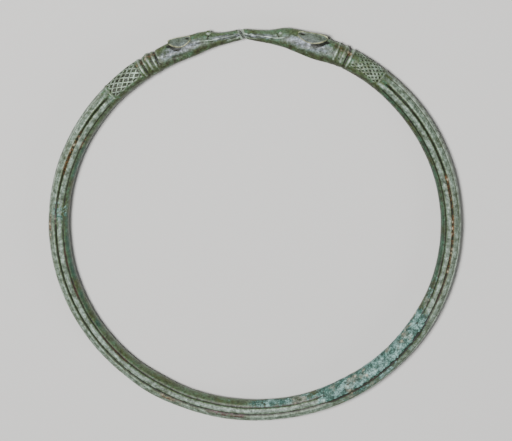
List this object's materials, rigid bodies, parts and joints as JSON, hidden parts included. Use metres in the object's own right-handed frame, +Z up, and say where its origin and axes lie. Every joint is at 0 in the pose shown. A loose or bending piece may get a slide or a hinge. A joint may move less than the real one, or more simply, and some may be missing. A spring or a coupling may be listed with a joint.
{
  "type": "bronze torc",
  "caption": "Open bronze neck ring with a fluted bar, net-patterned collars and long-snouted animal heads that meet nose to nose at its gap.",
  "frame": {"origin": "on the surface that the ring lies on, under the middle of its box", "axes": "+Z up out of the lying ring, +Y towards the gap between the heads, +X across the ring, its longest way"},
  "size_m": [0.1504, 0.1488, 0.0077],
  "materials": {
    "bronze": "solid cast bronze with a matt green, grey and brown corrosion patina, pale on the ridges and dark in the grooves"
  },
  "bodies": {
    "root": {"torc": "bronze"}
  },
  "joints": []
}
